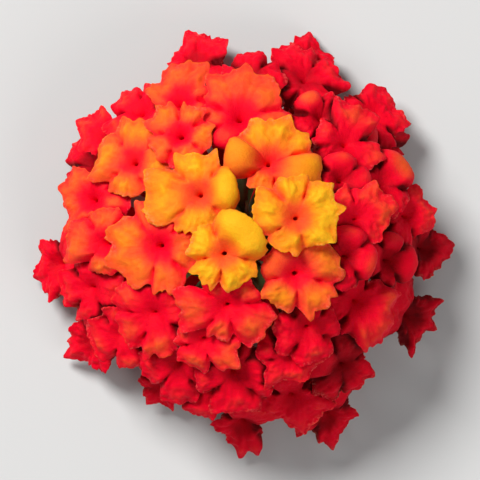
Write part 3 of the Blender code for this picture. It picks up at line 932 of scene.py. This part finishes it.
def shape_blade(piece, width, thickness, middle_line, flat_way):
    """Bend a blade along a line: pointed at its tip, with a raised midrib and its sides folded up a bit."""
    for corner in piece.data.vertices:
        across = corner.co.x / METRES * 2
        share = min(max(corner.co.y / METRES + 0.5, 0.0), 1.0)
        centre, forward = middle_line(share)
        side = unit(np.cross(forward, flat_way))
        up = np.cross(side, forward)
        wide = max(width / 2 * (0.5 + 1.3 * share) * max(1 - share**2.6, 0) ** 0.8, 0.03)
        lift = 0.16 * width * across**2 + 0.05 * width * math.exp(-((across / 0.2) ** 2))
        spot = centre + across * wide * side + lift * min(1, wide * 4 / width) * up
        spot[2] = max(spot[2], BLADE_LOWEST)
        corner.co = Vector(spot * METRES)
    wall = piece.modifiers.new("wall", "SOLIDIFY")
    wall.thickness = thickness * METRES
    wall.offset = 0
    apply_modifiers(piece)


def make_stalk(axis, foot, top):
    """The stalk's end and the knob that the florets stand on, one turned piece with four blunt ribs."""
    nothing_selected()
    bpy.ops.mesh.primitive_circle_add(
        vertices=48,
        radius=STALK_RADIUS * METRES,
        fill_type="NGON",
        location=(axis[0] * METRES, axis[1] * METRES, foot * METRES),
    )
    stalk = bpy.context.active_object
    stalk.name = "stalk_and_knob"
    stalk.data.name = stalk.name
    bpy.ops.object.mode_set(mode="EDIT")
    bpy.ops.mesh.select_all(action="SELECT")
    bpy.ops.mesh.inset(thickness=0.25 * METRES)
    bpy.ops.mesh.inset(thickness=0.3 * METRES, depth=-0.08 * METRES)
    bpy.ops.mesh.select_all(action="DESELECT")
    bpy.ops.mesh.select_non_manifold()
    rise = KNOB_LOW + 0.35 - foot
    profile = [(foot + 0.05, 0.95), (foot + rise * 0.5, 0.94), (foot + rise, 1.0)]
    for ring in range(1, KNOB_RINGS + 1):
        turn = math.pi * ring / (KNOB_RINGS + 1)
        half = KNOB_MIDDLE - KNOB_LOW if turn < math.pi / 2 else top - KNOB_MIDDLE
        profile.append((KNOB_MIDDLE - half * math.cos(turn), KNOB_RADIUS * math.sin(turn)))
    level, radius = foot, STALK_RADIUS
    for height, wide in sorted(ring for ring in profile if ring[0] > foot and ring[1] > 0.5):
        bpy.ops.mesh.extrude_region_move(TRANSFORM_OT_translate={"value": (0, 0, (height - level) * METRES)})
        bpy.ops.transform.resize(value=(wide / radius, wide / radius, 1))
        level, radius = height, wide
    bpy.ops.mesh.edge_face_add()
    bpy.ops.mesh.select_all(action="SELECT")
    bpy.ops.mesh.normals_make_consistent(inside=False)
    bpy.ops.object.mode_set(mode="OBJECT")
    for corner in stalk.data.vertices:
        around = math.atan2(corner.co.y, corner.co.x)
        if math.hypot(corner.co.x, corner.co.y) > 0.5 * METRES:
            ribs = 1 + 0.045 * math.cos(4 * around) + 0.015 * math.cos(24 * around)
            corner.co.x *= ribs
            corner.co.y *= ribs
    bpy.ops.object.transform_apply(location=True, rotation=True, scale=True)
    bpy.ops.object.shade_smooth_by_angle(angle=math.radians(50))
    return stalk


def settle(piece, material, slot, *nodes):
    """Give a finished piece its material and its body, and hide the nodes that it stands for. The slot is
    not used.
    """
    piece.data.materials.clear()
    piece.data.materials.append(material)
    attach(piece, "root")
    if nodes:
        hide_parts(*nodes)


def sheet_tree(sheets):
    """A tree of the tops of some limbs, to find what lies over or under a point."""
    corners = []
    faces = []
    for sheet in sheets:
        first = len(corners)
        limb = sheet[-LIMB_RINGS - 1 :]
        corners += [Vector(point) for point in limb.reshape(-1, 3)]
        for low in range(first, first + LIMB_RINGS * SPOKES, SPOKES):
            for j in range(SPOKES):
                after = (j + 1) % SPOKES
                faces.append((low + j, low + after, low + SPOKES + after, low + SPOKES + j))
    return BVHTree.FromPolygons(corners, faces)


def cover_for_painted_shade(floret, head, axis):
    """From 0 to 1, how far each limb point is shut in by the petals round it, which sets the painted shade
    that darkens it.
    """
    outward = unit(floret.throat - axis)
    side = unit(np.cross(outward, [0.3, 0.2, 1.0]))
    other = np.cross(outward, side)
    ways = [outward]
    for turn in np.arange(SHADE_WAYS) * math.tau / SHADE_WAYS:
        ways.append(unit(outward + SHADE_SPREAD * (math.cos(turn) * side + math.sin(turn) * other)))
    limb = floret.sheet[-LIMB_RINGS:]
    shut = np.zeros(limb.shape[:2])
    for way in ways:
        line = Vector(way)
        for place in np.ndindex(shut.shape):
            start = Vector(limb[place] + SHADE_START * floret.face)
            _, _, _, distance = head.ray_cast(start, line, SHADE_REACH)
            if distance is not None:
                shut[place] += (1 - distance / SHADE_REACH) / len(ways)
    for _ in range(8):
        shut = (2 * shut + np.roll(shut, 1, 1) + np.roll(shut, -1, 1)) / 4
        shut = blend_rings(shut, shut[:1])
    return shut


def lay_florets(axis):
    """The florets with the points and tones of their sheets, laid from the lowest up, with painted shade
    where petals shut them in.
    """
    florets = [Floret(number + 1, row[0], row[1:], axis) for number, row in enumerate(FLORETS)]
    for floret in florets:
        floret.hold_back([other for other in florets if other is not floret])
    laid = []
    for floret in sorted(florets, key=lambda one: one.throat[2]):
        floret.sheet, floret.tone, floret.rim = shape_floret(floret, laid)
        floret.tree = sheet_tree([floret.sheet])
        laid.append(floret)
    head = sheet_tree([floret.sheet for floret in florets])
    from_throat = np.clip(np.arange(1, LIMB_RINGS + 1) / LIMB_RINGS * 1.6 + 0.15, 0, 1)[:, None]
    for floret in florets:
        # Painted shade: limb points shut in by the petals round them are made redder and darker
        painted_shade = SHADE_TONE + OLD_SHADE_TONE * smooth_step((floret.age - 0.4) / 0.4)
        floret.tone[-LIMB_RINGS:] += painted_shade * from_throat * cover_for_painted_shade(floret, head, axis)
    return florets


def make_corollas(florets):
    """Each floret's petals and tube, one thin closed sheet."""
    blank = corolla_blank()
    ring, spoke = ring_and_spoke(blank.data)
    looks = {slot: petal_look(slot) for slot, _ in PETAL_SLOTS}
    for floret in florets:
        piece = copy_of(blank, f"corolla_{floret.number:02d}")
        piece.data.vertices.foreach_set("co", (floret.sheet[ring, spoke] * METRES).ravel())
        for name, values in (("tone", floret.tone), ("rim", floret.rim)):
            numbers = piece.data.attributes.new(name, "FLOAT", "POINT").data
            numbers.foreach_set("value", values[ring, spoke])
        piece.data.update()
        thin = piece.vertex_groups.new(name="thickness")
        for level in range(RINGS):
            share = min(1.0, RIM_THICK + THICKENING * (RINGS - 1 - level))
            thin.add(np.flatnonzero(ring == level).tolist(), share, "REPLACE")
        wall = piece.modifiers.new("wall", "SOLIDIFY")
        wall.thickness = PETAL_THICK * METRES
        wall.offset = -1
        wall.vertex_group = "thickness"
        wall.use_even_offset = False
        apply_modifiers(piece)
        slot = next(slot for slot, oldest in PETAL_SLOTS if floret.age < oldest)
        settle(piece, looks[slot], slot, floret.node)
    bpy.data.objects.remove(blank)


def line_and_way(spot):
    """For a share of a line's length: the point there, and the way the line runs."""
    return lambda share: (spot(share), unit(spot(share + 0.01) - spot(share - 0.01)))


def outer_line(axis, turn):
    """The middle line of an outer bract, which spreads under the head."""

    def spot(share):
        out = 1.5 + 4.9 * share
        x, y = axis[0] + out * math.cos(turn), axis[1] + out * math.sin(turn)
        return np.array([x, y, 1.35 - 0.75 * share**2])

    return line_and_way(spot)


def floret_bract_line(floret):
    """The middle line of the small bract that stands under a floret's tube and leans away from it."""
    low = unit(floret.foot_way - np.array([0.0, 0.0, 0.55]))
    return line_and_way(
        lambda share: floret.foot - 0.3 * low + 7.2 * share * low - np.array([0, 0, 0.5 + 0.9 * share**2])
    )


def inner_line(axis, x, y, top):
    """The middle line of a bract that stands up between the tubes, from the knob to a place and a height."""
    start = np.array([axis[0] + 0.25 * x, axis[1] + 0.25 * y, 5.0])
    end = np.array([axis[0] + x, axis[1] + y, top])
    return line_and_way(
        lambda share: start + (end - start) * share + np.array([0.0, 0.0, 0.6 * math.sin(math.pi * share)])
    )


def hidden_bracts():
    """Rows like those of INNER_BRACTS, on a spiral under the limbs, to fill the middle of the head."""
    for number in range(HIDDEN_BRACTS):
        turn = 2.4 * number
        wide = 1.8 + 0.26 * number
        yield wide * math.cos(turn), wide * math.sin(turn), 13.2 - 0.36 * wide, turn


def make_greens(florets, axis):
    """The stalk with its knob, the calyx cups and the bracts."""
    green = green_look("bract", *BRACT_GREENS)
    pale = green_look("stalk", *STALK_GREENS)
    low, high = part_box("flower_stalk")
    settle(make_stalk(axis, low.z / METRES, high.z / METRES), pale, "stalk", "flower_stalk")
    cup = calyx_blank()
    for floret in florets:
        piece = copy_of(cup, f"calyx_{floret.number:02d}")
        stand(piece, floret.foot - CALYX_DROP * floret.foot_way, floret.foot_way)
        settle(piece, green, "bract")
    bpy.data.objects.remove(cup)
    blade = blade_blank()
    for number in range(OUTER_BRACTS):
        node = f"bract_{number + 1:02d}"
        turn = math.tau * (number + 0.5) / OUTER_BRACTS
        piece = copy_of(blade, f"outer_{node}")
        shape_blade(piece, *OUTER_BRACT, outer_line(axis, turn), np.array([0.0, 0.0, 1.0]))
        settle(piece, green, "bract", node)
    for floret in florets:
        piece = copy_of(blade, f"floret_bract_{floret.number:02d}")
        outward = unit(floret.foot - np.array([axis[0], axis[1], floret.foot[2] - 1.0]))
        shape_blade(piece, *FLORET_BRACT, floret_bract_line(floret), outward)
        settle(piece, green, "bract")
    for number, (x, y, top, turn) in enumerate([*INNER_BRACTS, *hidden_bracts()]):
        piece = copy_of(blade, f"inner_bract_{number + 1:02d}")
        flat_way = np.array([math.cos(turn), math.sin(turn), 0.2])
        shape_blade(piece, *INNER_BRACT, inner_line(axis, x, y, top), flat_way)
        settle(piece, green, "bract")
    bpy.data.objects.remove(blade)


def make_stage(axis):
    """A pale floor, a soft lamp from the upper left, a weaker one opposite, and a camera straight above."""
    nothing_selected()
    bpy.ops.mesh.primitive_plane_add(size=3.0, location=(0, 0, 0))
    floor = bpy.context.active_object
    floor.name = "floor"
    floor.data.materials.append(floor_look())
    for name, place, size, power in LAMPS:
        lamp = bpy.data.lights.new(name, "AREA")
        lamp.shape = "DISK"
        lamp.size = size
        lamp.energy = power
        holder = bpy.data.objects.new(name, lamp)
        holder.location = place
        holder.rotation_euler = (-Vector(place)).to_track_quat("-Z", "Y").to_euler()
        bpy.context.collection.objects.link(holder)
    world = bpy.data.worlds.new("studio")
    world.use_nodes = True
    sky = world.node_tree.nodes["Background"].inputs
    sky["Color"].default_value = SKY
    sky["Strength"].default_value = SKY_STRENGTH
    scene = bpy.context.scene
    scene.world = world
    scene.view_settings.view_transform = "Standard"
    camera = bpy.data.cameras.new("camera")
    camera.sensor_width = SENSOR
    camera.clip_start = 0.01
    camera.lens = SENSOR * (CAMERA_HEIGHT - SCALE_HEIGHT) / (PHOTO_SIDE * MM_PER_PIXEL * METRES)
    holder = bpy.data.objects.new("camera", camera)
    x = axis[0] + (PHOTO_SIDE / 2 - AXIS_PIXEL[0]) * MM_PER_PIXEL
    y = axis[1] + (AXIS_PIXEL[1] - PHOTO_SIDE / 2) * MM_PER_PIXEL
    holder.location = (x * METRES, y * METRES, CAMERA_HEIGHT)
    bpy.context.collection.objects.link(holder)
    scene.camera = holder


stalk_low, stalk_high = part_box("flower_stalk")
axis_x, axis_y = ((low + high) / 2 / METRES for low, high in zip(stalk_low[:2], stalk_high[:2]))
head_axis = np.array([axis_x, axis_y, KNOB_MIDDLE])
head_florets = lay_florets(head_axis)
make_corollas(head_florets)
make_greens(head_florets, head_axis)
make_stage(head_axis)
